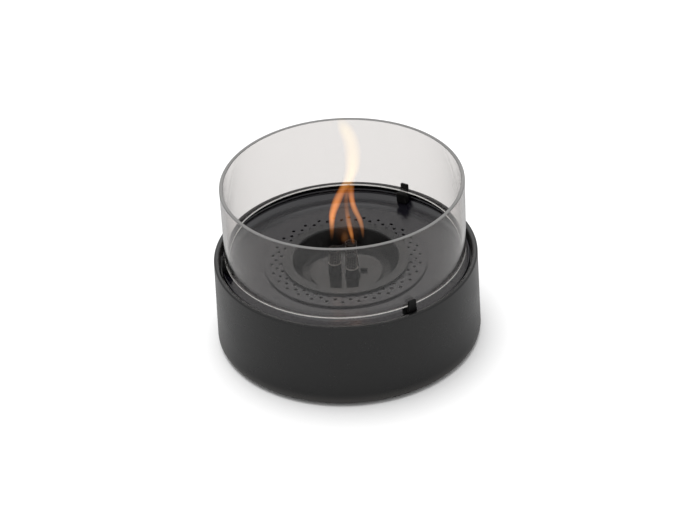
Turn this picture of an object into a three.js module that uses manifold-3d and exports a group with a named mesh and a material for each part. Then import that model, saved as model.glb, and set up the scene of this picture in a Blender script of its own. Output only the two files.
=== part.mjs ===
// Tabletop bioethanol fireplace: an open pot, a dish with a perforated vent ring,
// a lift-out burner with three capped wicks, and a glass cylinder held by rubber clips.
// Millimetres, +Z up. The origin is the centre of the footprint, on the table.

import * as THREE from 'three';
import { mergeVertices } from 'three/addons/utils/BufferGeometryUtils.js';
import Module from 'manifold-3d';

const wasm = await Module();
wasm.setup();

// ---------------------------------------------------------------- sizes

// Clearances
const SEAT_GAP = 0.3; // between a piece and the face that it rests on
const WICK_CLEARANCE = 0.3; // wick to the bore of its tube
const PLATE_CLEARANCE = 0.3; // tube to its hole in the wick plate
const CUP_CLEARANCE = 0.6; // tube to its hole in the cup floor
const TANK_CLEARANCE = 1.5; // tank to the bore of the vent ring
const DISH_CLEARANCE = 1.6; // rim of the dish to the bore of the pot
const CLIP_CLEARANCE = 0.3; // clip tab to the outside of the glass

// Outer pot
const POT_RADIUS = 100;
const POT_TAPER = 1.4; // narrower at the rim than at the foot
const POT_RIM_Z = 70;
const POT_WALL = 4.1;
const POT_FLOOR = 4;
const POT_CORNER = 4;
const POT_INNER_CORNER = 3;
const RIM_ROUND = 1.6;
const LEDGE_DEPTH = 10; // rim down to the ledge that carries the dish
const LEDGE_WIDTH = 6.5;
const LEDGE_THICKNESS = 3;

// Foot pads under the pot
const PAD_COUNT = 4;
const PAD_RADIUS = 7;
const PAD_THICKNESS = 1.2;
const PAD_INSET = 11; // edge of a pad to the pot's rounded corner

// Dish
const DISH_RIM_DROP = 3.5; // dish rim below the pot rim
const DISH_RIM_WIDTH = 1.6;
const DISH_WALL_HEIGHT = 2.2;
const DISH_SHEET = 1.5;
const DISH_SLOPE_RISE = 2.2;
const DISH_SLOPE_LENGTH = 11.3;
const DISH_WALL_FOOT = 1; // wall of the dish to the top of its slope
const DISH_BEND = 2; // length of the bend between floor and slope
const DISH_FLOOR_DROP = 8; // dish floor below the pot rim

// Vent ring
const RING_OVERLAP = 1.9; // ring over the edge of the dish bore
const RING_MARGIN = 4.4; // outer row of vents to the ring's edge
const RING_THICKNESS = 1.3; // over its turned-down edges
const RING_SHEET = 0.7;
const RING_ROUND = 0.4;
const VENT_ROWS = 3;
const VENTS_PER_ROW = 30;
const VENT_MARGIN = 0.2; // inner row of vents to the cup's flange
const VENT_ROW_PITCH = 3.35;
const VENT_DIAMETER = 2.4;
const VENT_START = -94; // degrees, a hole of the inner row near the front

// Burner cup
const CUP_FLANGE_OVERLAP = 2.2; // flange over the edge of the ring's bore
const CUP_SHEET = 1.4;
const CUP_MOUTH = 40;
const CUP_LIP = 1.3;
const CUP_TAPER = 7; // floor narrower than the mouth
const CUP_DEPTH = 13.3;
const CUP_FILLET = 2;

// Fuel tank under the cup, standing on the floor of the pot
const TANK_WALL = 1;
const TANK_CORNER = 3;
const TANK_RIM_DROP = 8; // rim of the tank below the flange of the cup

// Wick plate, tubes, caps and wicks
const PLATE_INSET = 5.7; // edge of the plate to the foot of the cup's wall
const PLATE_THICKNESS = 1;
const WICK_CIRCLE = 8.4;
const WICK_ANGLES = [-61, 59, 179];
const TUBE_RADIUS = 4.7;
const TUBE_WALL = 0.8;
const TUBE_RISE = 7.2; // tube above the plate
const TUBE_REACH = 6; // tube below the floor of the cup
const CAP_HEIGHT = 11.9;
const CAP_WALL = 0.5;
const CAP_RADIUS = 4.5;
const CAP_BEAD = 0.3;
const CAP_MOUTH = 3.1;
const WICK_TOP_DROP = 0.5; // wick end below the underside of the cap's rim
const WICK_FOOT_GAP = 3; // wick to the floor of the tank
const LUG_LENGTH = 5.3;
const LUG_WIDTH = 2.2;
const LUG_HEIGHT = 1.6;
const LUG_ANGLE = -8;
const LUG_OFFSET = 4.8; // middle of the lug outside the circle of the wicks

// Glass cylinder
const GLASS_WALL = 2.8;
const GLASS_HEIGHT = 59.8;
const GLASS_EDGE = 0.6;

// Rubber clips between dish and glass
const CLIP_ANGLES = [-60, 58, 187.5]; // pushed on by hand
const CLIP_WIDTH = 8.5;
const CLIP_INSET = 5.5; // block to the foot of the slope
const CLIP_RISE = 1.9; // glass seat above the pot rim
const CLIP_ROUND = 0.8;
const TAB_WIDTH = 6.7;
const TAB_THICKNESS = 2.6;
const TAB_HEIGHT = 6; // tab above the glass seat
const TAB_ROUND = 2;

// Smoothness
const ROUND_LARGE = 60;
const ROUND_MEDIUM = 48;
const ROUND_SMALL = 16;
const ROUND_HIDDEN = 32;
const ARC_STEPS = 3;

// ------------------------------------------------- sizes that follow

const POT_BASE_Z = PAD_THICKNESS + SEAT_GAP;
const POT_FLOOR_Z = POT_BASE_Z + POT_FLOOR;
const POT_TOP_RADIUS = POT_RADIUS - POT_TAPER;
const POT_BORE = POT_TOP_RADIUS - POT_WALL;
const POT_INSIDE = POT_RADIUS - POT_WALL;
const LEDGE_Z = POT_RIM_Z - LEDGE_DEPTH;
const LEDGE_BORE = POT_BORE - LEDGE_WIDTH;
const PAD_CIRCLE = POT_RADIUS - POT_CORNER - PAD_INSET - PAD_RADIUS;

const DISH_RIM_Z = POT_RIM_Z - DISH_RIM_DROP;
const DISH_FLOOR_Z = POT_RIM_Z - DISH_FLOOR_DROP;
const DISH_SKIRT_Z = LEDGE_Z + SEAT_GAP;
const DISH_RIM_RADIUS = POT_BORE - DISH_CLEARANCE;
const DISH_WALL_RADIUS = DISH_RIM_RADIUS - DISH_RIM_WIDTH;
const DISH_SLOPE_Z = DISH_FLOOR_Z + DISH_SLOPE_RISE;
const DISH_SLOPE_RADIUS = DISH_WALL_RADIUS - DISH_WALL_FOOT;
const DISH_FLOOR_RADIUS = DISH_SLOPE_RADIUS - DISH_SLOPE_LENGTH;

const RING_Z = DISH_FLOOR_Z + SEAT_GAP;
const RING_TOP_Z = RING_Z + RING_THICKNESS;
const FLANGE_Z = RING_TOP_Z + SEAT_GAP;
const FLANGE_TOP_Z = FLANGE_Z + CUP_SHEET;
const CUP_FLOOR_TOP_Z = FLANGE_TOP_Z - CUP_DEPTH;
const CUP_FLOOR_Z = CUP_FLOOR_TOP_Z - CUP_SHEET;

const TANK_TOP_Z = FLANGE_Z - TANK_RIM_DROP;
const TANK_Z = POT_FLOOR_Z + SEAT_GAP;
const TANK_RADIUS = CUP_MOUTH + CUP_LIP + CUP_SHEET + SEAT_GAP + TANK_WALL;
const RING_BORE = TANK_RADIUS + TANK_CLEARANCE;
const CUP_FLANGE_RADIUS = RING_BORE + CUP_FLANGE_OVERLAP;
const VENT_ROW_RADIUS = CUP_FLANGE_RADIUS + VENT_MARGIN + VENT_DIAMETER / 2;
const VENT_LAST_RADIUS = VENT_ROW_RADIUS + (VENT_ROWS - 1) * VENT_ROW_PITCH;
const RING_RADIUS = VENT_LAST_RADIUS + VENT_DIAMETER / 2 + RING_MARGIN;
const DISH_BORE = RING_RADIUS - RING_OVERLAP;

const CUP_FLOOR_RADIUS = CUP_MOUTH - CUP_TAPER;
const PLATE_RADIUS = CUP_FLOOR_RADIUS - PLATE_INSET;
const PLATE_Z = CUP_FLOOR_TOP_Z + SEAT_GAP;
const PLATE_TOP_Z = PLATE_Z + PLATE_THICKNESS;
const TUBE_TOP_Z = PLATE_TOP_Z + TUBE_RISE;
const TUBE_Z = CUP_FLOOR_Z - TUBE_REACH;
const TUBE_BORE = TUBE_RADIUS - TUBE_WALL;
const WICK_RADIUS = TUBE_BORE - WICK_CLEARANCE;
const CAP_Z = TUBE_TOP_Z + SEAT_GAP;
const CAP_TOP_Z = CAP_Z + CAP_HEIGHT;
const WICK_TOP_Z = CAP_TOP_Z - CAP_WALL - WICK_TOP_DROP;
const WICK_Z = TANK_Z + TANK_WALL + WICK_FOOT_GAP;
const LUG_DISTANCE = WICK_CIRCLE + LUG_OFFSET;

const GLASS_SEAT_Z = POT_RIM_Z + CLIP_RISE;
const GLASS_Z = GLASS_SEAT_Z + SEAT_GAP;
const GLASS_RADIUS = DISH_SLOPE_RADIUS; // outside of the glass over the top of the slope
const GLASS_BORE = GLASS_RADIUS - GLASS_WALL;
const TAB_RADIUS = GLASS_RADIUS + CLIP_CLEARANCE;
const CLIP_OUTER = DISH_SLOPE_RADIUS - SEAT_GAP;
const CLIP_INNER = DISH_FLOOR_RADIUS + CLIP_INSET;
const TAB_Z = DISH_RIM_Z + SEAT_GAP;

const TURN = Math.PI / 180;

// ---------------------------------------------------------- materials

const MATERIALS = {
  pot: { color: 0x232324, roughness: 0.3, metalness: 0 },
  dish: { color: 0x3c3c3d, roughness: 0.48, metalness: 0.1 },
  ring: { color: 0x3a3a3b, roughness: 0.45, metalness: 0.1 },
  cup: { color: 0x343435, roughness: 0.35, metalness: 0.15 },
  plate: { color: 0x4a4a4b, roughness: 0.25, metalness: 0.3 },
  tank: { color: 0x8c8c8a, roughness: 0.35, metalness: 1 },
  tube: { color: 0x3a3a3a, roughness: 0.4, metalness: 0.6 },
  cap: { color: 0x9a9894, roughness: 0.4, metalness: 1 },
  wick: { color: 0xb9b2a4, roughness: 0.95, metalness: 0 },
  rubber: { color: 0x101010, roughness: 0.75, metalness: 0 },
};

function material(kind) {
  return new THREE.MeshStandardMaterial(MATERIALS[kind]);
}

function glassMaterial() {
  const glass = new THREE.MeshStandardMaterial({ color: 0xe7e4e2, roughness: 0.02, metalness: 0 });
  glass.transparent = true;
  glass.opacity = 0.3;
  return glass;
}

// ----------------------------------------------------- shape helpers

// Points of a quarter round from one direction to another, in degrees.
function arc(r, z, radius, from, to, steps = ARC_STEPS) {
  const points = [];
  for (let i = 0; i <= steps; i += 1) {
    const angle = (from + ((to - from) * i) / steps) * TURN;
    points.push([r + radius * Math.cos(angle), z + radius * Math.sin(angle)]);
  }
  return points;
}

// A profile of [radius, height] points turned about Z. Listed counter-clockwise
// as seen with the radius to the right, so that the faces point out.
function lathe(points, segments, closed = true) {
  const outline = points.map(([r, z]) => new THREE.Vector2(r, z));
  if (closed) {
    outline.push(outline[0].clone());
  }
  const geometry = new THREE.LatheGeometry(outline, segments);
  geometry.rotateX(Math.PI / 2);
  return geometry;
}

// A closed outline of [x, y] points raised from one height to another.
function prism(points, z0, z1) {
  const shape = new THREE.Shape(points.map(([x, y]) => new THREE.Vector2(x, y)));
  const options = { depth: z1 - z0, bevelEnabled: false, steps: 1 };
  const geometry = new THREE.ExtrudeGeometry(shape, options);
  geometry.translate(0, 0, z0);
  return geometry;
}

// A regular outline with its flats outside the true circle's chords.
function circle(x, y, radius, sides) {
  const points = [];
  for (let i = 0; i < sides; i += 1) {
    const angle = (2 * Math.PI * (i + 0.5)) / sides;
    points.push([x + radius * Math.cos(angle), y + radius * Math.sin(angle)]);
  }
  return points;
}

// A rectangle about the middle of its base, its two upper corners rounded.
function archOutline(width, height, radius) {
  const half = width / 2;
  const points = [[-half, 0], [half, 0]];
  points.push(...arc(half - radius, height - radius, radius, 0, 90));
  points.push(...arc(radius - half, height - radius, radius, 90, 180));
  return points;
}

function toSolid(geometry) {
  const bare = geometry.clone();
  bare.deleteAttribute('normal');
  bare.deleteAttribute('uv');
  const merged = mergeVertices(bare, 1e-4);
  const mesh = new wasm.Mesh({
    numProp: 3,
    vertProperties: new Float32Array(merged.attributes.position.array),
    triVerts: new Uint32Array(merged.index.array),
  });
  return new wasm.Manifold(mesh);
}

function toGeometry(solid) {
  const mesh = solid.getMesh();
  const geometry = new THREE.BufferGeometry();
  geometry.setAttribute('position', new THREE.BufferAttribute(mesh.vertProperties, 3));
  geometry.setIndex(new THREE.BufferAttribute(mesh.triVerts, 1));
  const flat = geometry.toNonIndexed();
  flat.computeVertexNormals();
  return flat;
}

function cut(body, tools) {
  let solid = toSolid(body);
  for (const tool of tools) {
    solid = solid.subtract(toSolid(tool));
  }
  return toGeometry(solid);
}

function join(parts) {
  let solid = toSolid(parts[0]);
  for (const part of parts.slice(1)) {
    solid = solid.add(toSolid(part));
  }
  return toGeometry(solid);
}

function named(name, geometry, surface) {
  const mesh = new THREE.Mesh(geometry, surface);
  mesh.name = name;
  return mesh;
}

// ------------------------------------------------------------ outer pot

function potGeometry() {
  const cornerR = POT_RADIUS - POT_CORNER;
  const cornerZ = POT_BASE_Z + POT_CORNER;
  const rimOuter = POT_TOP_RADIUS - RIM_ROUND;
  const rimInner = POT_BORE + RIM_ROUND;
  const rimZ = POT_RIM_Z - RIM_ROUND;
  const underLedge = LEDGE_Z - LEDGE_THICKNESS;
  const chamfer = LEDGE_WIDTH * 0.6;
  return lathe([
    [0, POT_BASE_Z],
    ...arc(cornerR, cornerZ, POT_CORNER, -90, 0, 6),
    ...arc(rimOuter, rimZ, RIM_ROUND, 0, 90),
    ...arc(rimInner, rimZ, RIM_ROUND, 90, 180),
    [POT_BORE, LEDGE_Z],
    [LEDGE_BORE, LEDGE_Z],
    [LEDGE_BORE, underLedge],
    [POT_BORE, underLedge - chamfer],
    ...arc(
      POT_INSIDE - POT_INNER_CORNER, POT_FLOOR_Z + POT_INNER_CORNER, POT_INNER_CORNER, 0, -90, 3,
    ),
    [0, POT_FLOOR_Z],
  ], ROUND_LARGE, false);
}

function addPot(group) {
  group.add(named('outer_pot', potGeometry(), material('pot')));
  for (let i = 0; i < PAD_COUNT; i += 1) {
    const angle = ((i + 0.5) * 360) / PAD_COUNT;
    const x = PAD_CIRCLE * Math.cos(angle * TURN);
    const y = PAD_CIRCLE * Math.sin(angle * TURN);
    const pad = prism(circle(0, 0, PAD_RADIUS, ROUND_SMALL), 0, PAD_THICKNESS);
    const mesh = named(`foot_pad_${i + 1}`, pad, material('rubber'));
    mesh.position.set(x, y, 0);
    group.add(mesh);
  }
}

// ----------------------------------------------------------------- dish

function dishGeometry() {
  const rimRound = DISH_RIM_WIDTH / 2;
  const rimR = DISH_RIM_RADIUS - rimRound;
  const wallFoot = DISH_RIM_Z - DISH_WALL_HEIGHT;
  const bendRise = (DISH_BEND * DISH_SLOPE_RISE) / (DISH_SLOPE_RADIUS - DISH_FLOOR_RADIUS) / 2;
  const underFloor = DISH_FLOOR_Z - DISH_SHEET;
  const underSlope = DISH_SLOPE_Z - DISH_SHEET;
  const skirtInner = DISH_RIM_RADIUS - DISH_SHEET;
  return lathe([
    [DISH_BORE, underFloor],
    [DISH_FLOOR_RADIUS + DISH_BEND, underFloor],
    [skirtInner - 1, underSlope],
    [skirtInner, underSlope - 1],
    [skirtInner, DISH_SKIRT_Z],
    [DISH_RIM_RADIUS, DISH_SKIRT_Z],
    ...arc(rimR, DISH_RIM_Z - rimRound, rimRound, 0, 180),
    [DISH_WALL_RADIUS, wallFoot],
    [DISH_SLOPE_RADIUS, DISH_SLOPE_Z],
    [DISH_FLOOR_RADIUS + DISH_BEND, DISH_FLOOR_Z + bendRise * 2],
    [DISH_FLOOR_RADIUS, DISH_FLOOR_Z + bendRise / 2],
    [DISH_FLOOR_RADIUS - DISH_BEND, DISH_FLOOR_Z],
    [DISH_BORE, DISH_FLOOR_Z],
  ], ROUND_LARGE);
}

// A rubber block under the glass, with a tab that stands outside it. Drawn with
// the radius along X and turned to its place.
function clipGeometry() {
  const half = CLIP_WIDTH / 2;
  const slope = DISH_SLOPE_RISE / (DISH_SLOPE_RADIUS - DISH_FLOOR_RADIUS);
  const outerFoot = DISH_SLOPE_Z + SEAT_GAP;
  const innerFoot = outerFoot - (CLIP_OUTER - CLIP_INNER) * slope;
  const side = new THREE.Shape([
    new THREE.Vector2(CLIP_INNER, innerFoot),
    new THREE.Vector2(CLIP_OUTER, outerFoot),
    new THREE.Vector2(CLIP_OUTER, GLASS_SEAT_Z),
    new THREE.Vector2(CLIP_INNER + CLIP_ROUND, GLASS_SEAT_Z),
    new THREE.Vector2(CLIP_INNER + CLIP_ROUND * 0.3, GLASS_SEAT_Z - CLIP_ROUND * 0.3),
    new THREE.Vector2(CLIP_INNER, GLASS_SEAT_Z - CLIP_ROUND),
  ]);
  const block = new THREE.ExtrudeGeometry(side, { depth: CLIP_WIDTH, bevelEnabled: false });
  block.translate(0, 0, -half);
  block.rotateX(Math.PI / 2);

  const tabOuter = TAB_RADIUS + TAB_THICKNESS;
  const lug = prism([
    [CLIP_OUTER - 2, -TAB_WIDTH / 2],
    [tabOuter, -TAB_WIDTH / 2],
    [tabOuter, TAB_WIDTH / 2],
    [CLIP_OUTER - 2, TAB_WIDTH / 2],
  ], TAB_Z, GLASS_SEAT_Z);

  const outline = archOutline(TAB_WIDTH, GLASS_SEAT_Z + TAB_HEIGHT - TAB_Z, TAB_ROUND);
  const tab = prism(outline, TAB_RADIUS, tabOuter);
  tab.rotateX(Math.PI / 2);
  tab.rotateZ(Math.PI / 2);
  tab.translate(0, 0, TAB_Z);
  return join([block, lug, tab]);
}

function addDish(group) {
  group.add(named('dish_tray', dishGeometry(), material('dish')));
  const geometry = clipGeometry();
  CLIP_ANGLES.forEach((angle, i) => {
    const mesh = named(`glass_clip_${i + 1}`, geometry.clone(), material('rubber'));
    mesh.rotation.z = angle * TURN;
    group.add(mesh);
  });
}

// ------------------------------------------------------------ vent ring

// Rows of round vents in a pressed sheet with turned-down edges, each row
// turned by half a pitch against the next.
function ventTools() {
  const tools = [];
  for (let row = 0; row < VENT_ROWS; row += 1) {
    const radius = VENT_ROW_RADIUS + row * VENT_ROW_PITCH;
    const shift = (row % 2) / 2;
    for (let i = 0; i < VENTS_PER_ROW; i += 1) {
      const angle = (VENT_START + ((i + shift) * 360) / VENTS_PER_ROW) * TURN;
      const x = radius * Math.cos(angle);
      const y = radius * Math.sin(angle);
      tools.push(prism(circle(x, y, VENT_DIAMETER / 2, 8), RING_Z - 1, RING_TOP_Z + 1));
    }
  }
  return tools;
}

function ventRingGeometry() {
  const underside = RING_TOP_Z - RING_SHEET;
  const ring = lathe([
    [RING_BORE, RING_Z],
    [RING_BORE + RING_SHEET, RING_Z],
    [RING_BORE + RING_SHEET, underside],
    [RING_RADIUS - RING_SHEET, underside],
    [RING_RADIUS - RING_SHEET, RING_Z],
    [RING_RADIUS, RING_Z],
    [RING_RADIUS, RING_TOP_Z - RING_ROUND],
    [RING_RADIUS - RING_ROUND, RING_TOP_Z],
    [RING_BORE, RING_TOP_Z],
  ], ROUND_LARGE);
  return cut(ring, ventTools());
}

// --------------------------------------------------------------- burner

function wickPlaces() {
  return WICK_ANGLES.map((angle) => {
    const turn = angle * TURN;
    return [WICK_CIRCLE * Math.cos(turn), WICK_CIRCLE * Math.sin(turn)];
  });
}

function tubeHoles(clearance, z0, z1) {
  const radius = TUBE_RADIUS + clearance;
  return wickPlaces().map(([x, y]) => prism(circle(x, y, radius, ROUND_SMALL), z0, z1));
}

function cupGeometry() {
  const wallTop = FLANGE_TOP_Z - CUP_LIP;
  const shell = lathe([
    [0, CUP_FLOOR_Z],
    [CUP_FLOOR_RADIUS + 0.4, CUP_FLOOR_Z],
    [CUP_FLOOR_RADIUS + CUP_SHEET + CUP_FILLET * 0.5, CUP_FLOOR_Z + CUP_FILLET],
    [CUP_MOUTH + CUP_SHEET, wallTop - CUP_SHEET * 0.5],
    [CUP_MOUTH + CUP_LIP + CUP_SHEET, FLANGE_Z],
    [CUP_FLANGE_RADIUS - RING_ROUND, FLANGE_Z],
    [CUP_FLANGE_RADIUS, FLANGE_Z + RING_ROUND],
    [CUP_FLANGE_RADIUS, FLANGE_TOP_Z - RING_ROUND],
    [CUP_FLANGE_RADIUS - RING_ROUND, FLANGE_TOP_Z],
    ...arc(CUP_MOUTH + CUP_LIP, wallTop, CUP_LIP, 90, 170, 3),
    [CUP_FLOOR_RADIUS + CUP_FILLET * 0.5, CUP_FLOOR_TOP_Z + CUP_FILLET],
    [CUP_FLOOR_RADIUS, CUP_FLOOR_TOP_Z + CUP_FILLET * 0.3],
    [CUP_FLOOR_RADIUS - CUP_FILLET, CUP_FLOOR_TOP_Z],
    [0, CUP_FLOOR_TOP_Z],
  ], ROUND_MEDIUM, false);
  return cut(shell, tubeHoles(CUP_CLEARANCE, CUP_FLOOR_Z - 1, CUP_FLOOR_TOP_Z + 1));
}

function tankGeometry() {
  const inside = TANK_RADIUS - TANK_WALL;
  const innerCorner = TANK_CORNER - TANK_WALL;
  return lathe([
    [0, TANK_Z],
    ...arc(TANK_RADIUS - TANK_CORNER, TANK_Z + TANK_CORNER, TANK_CORNER, -90, 0, 3),
    [TANK_RADIUS, TANK_TOP_Z],
    [inside, TANK_TOP_Z],
    ...arc(inside - innerCorner, TANK_Z + TANK_CORNER, innerCorner, 0, -90, 3),
    [0, TANK_Z + TANK_WALL],
  ], ROUND_HIDDEN, false);
}

function addBurner(group) {
  group.add(named('burner_cup', cupGeometry(), material('cup')));
  group.add(named('fuel_tank', tankGeometry(), material('tank')));
}

// ------------------------------------------------------------ wick unit

function plateGeometry() {
  const disc = lathe([
    [0, PLATE_Z],
    [PLATE_RADIUS, PLATE_Z],
    [PLATE_RADIUS, PLATE_TOP_Z - 0.3],
    [PLATE_RADIUS - 0.3, PLATE_TOP_Z],
    [0, PLATE_TOP_Z],
  ], ROUND_MEDIUM, false);
  return cut(disc, tubeHoles(PLATE_CLEARANCE, PLATE_Z - 1, PLATE_TOP_Z + 1));
}

function tubeGeometry() {
  return lathe([
    [TUBE_BORE, TUBE_Z],
    [TUBE_RADIUS, TUBE_Z],
    [TUBE_RADIUS, TUBE_TOP_Z],
    [TUBE_BORE, TUBE_TOP_Z],
  ], ROUND_SMALL);
}

// A sleeve with a bead at its foot and a rim turned in at its top.
function capGeometry() {
  const inside = CAP_RADIUS - CAP_WALL;
  return lathe([
    [inside, CAP_Z],
    [CAP_RADIUS + CAP_BEAD, CAP_Z],
    [CAP_RADIUS + CAP_BEAD, CAP_Z + CAP_BEAD * 2],
    [CAP_RADIUS, CAP_Z + CAP_BEAD * 3],
    [CAP_RADIUS, CAP_TOP_Z - CAP_WALL],
    [CAP_RADIUS - CAP_WALL, CAP_TOP_Z],
    [CAP_MOUTH, CAP_TOP_Z],
    [CAP_MOUTH, CAP_TOP_Z - CAP_WALL],
    [inside, CAP_TOP_Z - CAP_WALL],
  ], ROUND_SMALL);
}

function wickGeometry() {
  const taper = 0.5;
  return lathe([
    [0, WICK_Z],
    [WICK_RADIUS - taper, WICK_Z],
    [WICK_RADIUS, WICK_Z + taper],
    [WICK_RADIUS, WICK_TOP_Z - taper],
    [WICK_RADIUS - taper, WICK_TOP_Z],
    [0, WICK_TOP_Z],
  ], ROUND_SMALL, false);
}

function lugMesh() {
  const outline = [
    [LUG_DISTANCE - LUG_LENGTH / 2, -LUG_WIDTH / 2],
    [LUG_DISTANCE + LUG_LENGTH / 2, -LUG_WIDTH / 2],
    [LUG_DISTANCE + LUG_LENGTH / 2, LUG_WIDTH / 2],
    [LUG_DISTANCE - LUG_LENGTH / 2, LUG_WIDTH / 2],
  ];
  const z0 = PLATE_TOP_Z + SEAT_GAP;
  const mesh = named('lift_lug', prism(outline, z0, z0 + LUG_HEIGHT), material('tube'));
  mesh.rotation.z = LUG_ANGLE * TURN;
  return mesh;
}

function addWicks(group) {
  group.add(named('wick_plate', plateGeometry(), material('plate')));
  group.add(lugMesh());
  wickPlaces().forEach(([x, y], i) => {
    const station = new THREE.Group();
    station.position.set(x, y, 0);
    station.add(named(`wick_tube_${i + 1}`, tubeGeometry(), material('tube')));
    station.add(named(`wick_cap_${i + 1}`, capGeometry(), material('cap')));
    station.add(named(`wick_${i + 1}`, wickGeometry(), material('wick')));
    group.add(station);
  });
}

// ---------------------------------------------------------------- glass

function glassGeometry() {
  const top = GLASS_Z + GLASS_HEIGHT;
  return lathe([
    [GLASS_BORE + GLASS_EDGE, GLASS_Z],
    [GLASS_RADIUS - GLASS_EDGE, GLASS_Z],
    [GLASS_RADIUS, GLASS_Z + GLASS_EDGE],
    [GLASS_RADIUS, top - GLASS_EDGE],
    [GLASS_RADIUS - GLASS_EDGE, top],
    [GLASS_BORE + GLASS_EDGE, top],
    [GLASS_BORE, top - GLASS_EDGE],
    [GLASS_BORE, GLASS_Z + GLASS_EDGE],
  ], ROUND_LARGE);
}

// ------------------------------------------------------------- assembly

const fireplace = new THREE.Group();
addPot(fireplace);
addDish(fireplace);
fireplace.add(named('vent_ring', ventRingGeometry(), material('ring')));
addBurner(fireplace);
addWicks(fireplace);
fireplace.add(named('glass_cylinder', glassGeometry(), glassMaterial()));

export default fireplace;
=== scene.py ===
# %% [markdown]
# # Tabletop bioethanol fireplace
# A black pot holds a sheet-metal dish. In the middle of the dish lie a ring
# of air vents and a small burner cup with three capped wicks, and a clear
# glass cylinder stands over them on three rubber clips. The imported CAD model
# is the fixed frame: every surface made here takes its sizes from it, rides
# on its bodies and stands for one of its nodes.

import bpy
import numpy as np
from mathutils import Matrix


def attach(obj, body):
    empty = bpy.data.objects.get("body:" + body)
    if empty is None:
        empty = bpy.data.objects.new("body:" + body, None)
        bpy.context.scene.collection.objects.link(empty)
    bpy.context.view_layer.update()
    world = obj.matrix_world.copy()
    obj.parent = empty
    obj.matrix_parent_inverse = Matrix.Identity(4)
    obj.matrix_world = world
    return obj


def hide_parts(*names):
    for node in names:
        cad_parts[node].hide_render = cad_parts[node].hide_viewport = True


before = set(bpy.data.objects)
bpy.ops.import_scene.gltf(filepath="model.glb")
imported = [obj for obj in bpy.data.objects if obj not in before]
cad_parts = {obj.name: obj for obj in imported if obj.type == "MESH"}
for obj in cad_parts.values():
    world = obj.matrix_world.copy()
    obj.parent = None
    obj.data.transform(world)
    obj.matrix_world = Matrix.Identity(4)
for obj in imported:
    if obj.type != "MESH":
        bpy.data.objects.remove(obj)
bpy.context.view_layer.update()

# %% [markdown]
# ## From a grid of points to a mesh
# Nearly everything on this object was turned, pressed or drawn, so its skin
# is a function of two parameters. Worked out as one array of points, such a
# skin stays smooth at any size, and its edges lie where they are meant to.
# Lengths below are in millimetres, and change to metres once, on the way
# into the mesh.

# %% Grids, welding and pieces
MM = 0.001
WELD = 1e-4  # points closer than this, in mm, are one point
CELL_SHIFT = 0.31  # keeps round sizes away from the borders of welding cells


def skin(points, wrap_u=False, wrap_v=True):
    """Quads over grids of points [..., u, v, 3]. Each joins (u, v), (u, v+1),
    (u+1, v+1) and (u+1, v), so it faces along (step in v) x (step in u)."""
    index = np.arange(points[..., 0].size).reshape(points.shape[:-1])
    if wrap_u:
        index = np.concatenate([index, index[..., :1, :]], axis=-2)
    if wrap_v:
        index = np.concatenate([index, index[..., :1]], axis=-1)
    corners = (
        index[..., :-1, :-1],
        index[..., :-1, 1:],
        index[..., 1:, 1:],
        index[..., 1:, :-1],
    )
    return points.reshape(-1, 3), np.stack(corners, axis=-1).reshape(-1, 4)


def weld(grids):
    """Puts grids together. Points in one place become one point, which closes
    seams and poles, and a quad that loses a side there becomes a triangle."""
    starts = np.cumsum([0] + [len(p) for p, _ in grids[:-1]])
    points = np.concatenate([p for p, _ in grids])
    quads = np.concatenate([q + s for (_, q), s in zip(grids, starts)])
    cell = np.round(points / WELD + CELL_SHIFT).astype(np.int64)
    _, first, same = np.unique(cell, axis=0, return_index=True, return_inverse=True)
    quads = same.reshape(-1)[quads]
    lost = quads == np.roll(quads, -1, axis=1)
    whole = quads[lost.sum(axis=1) == 0]
    thirds = quads[lost.sum(axis=1) == 1]
    triangles = thirds[thirds != np.roll(thirds, -1, axis=1)].reshape(-1, 3)
    return points[first], whole.tolist() + triangles.tolist()


def new_object(name, grids):
    """A smooth mesh object at the origin, with its place in its points."""
    points, faces = weld(grids)
    mesh = bpy.data.meshes.new(name)
    mesh.from_pydata((points * MM).tolist(), [], faces)
    mesh.shade_smooth()
    made = bpy.data.objects.new(name, mesh)
    bpy.context.scene.collection.objects.link(made)
    return made


def piece(name, grids, surface, body, nodes):
    """A visible piece: its mesh, its finish, its body and the CAD nodes it
    stands for."""
    made = new_object(name, grids) if isinstance(grids, list) else grids
    made.data.materials.append(surface)
    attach(made, body)
    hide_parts(*nodes)
    print(f"{name}: {len(made.data.polygons)} faces, for {', '.join(nodes)}")
    return made


# %% [markdown]
# ## Profiles with soft edges
# Pressed sheet, glazed clay and cut glass all have small rounded edges, and
# the thin lines of light on those edges are what makes them look real. So a
# profile is given as corners with a radius each. An extra point just outside
# each arc keeps the flat sides flat when they are shaded smooth.

# %% Rounded profiles
ARC = np.linspace(0.0, 1.0, 6)
GUARD = 0.25  # the extra point, as a share of the radius
HALF_FREE = 0.45  # and at most this share of what two arcs leave of a side


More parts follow.
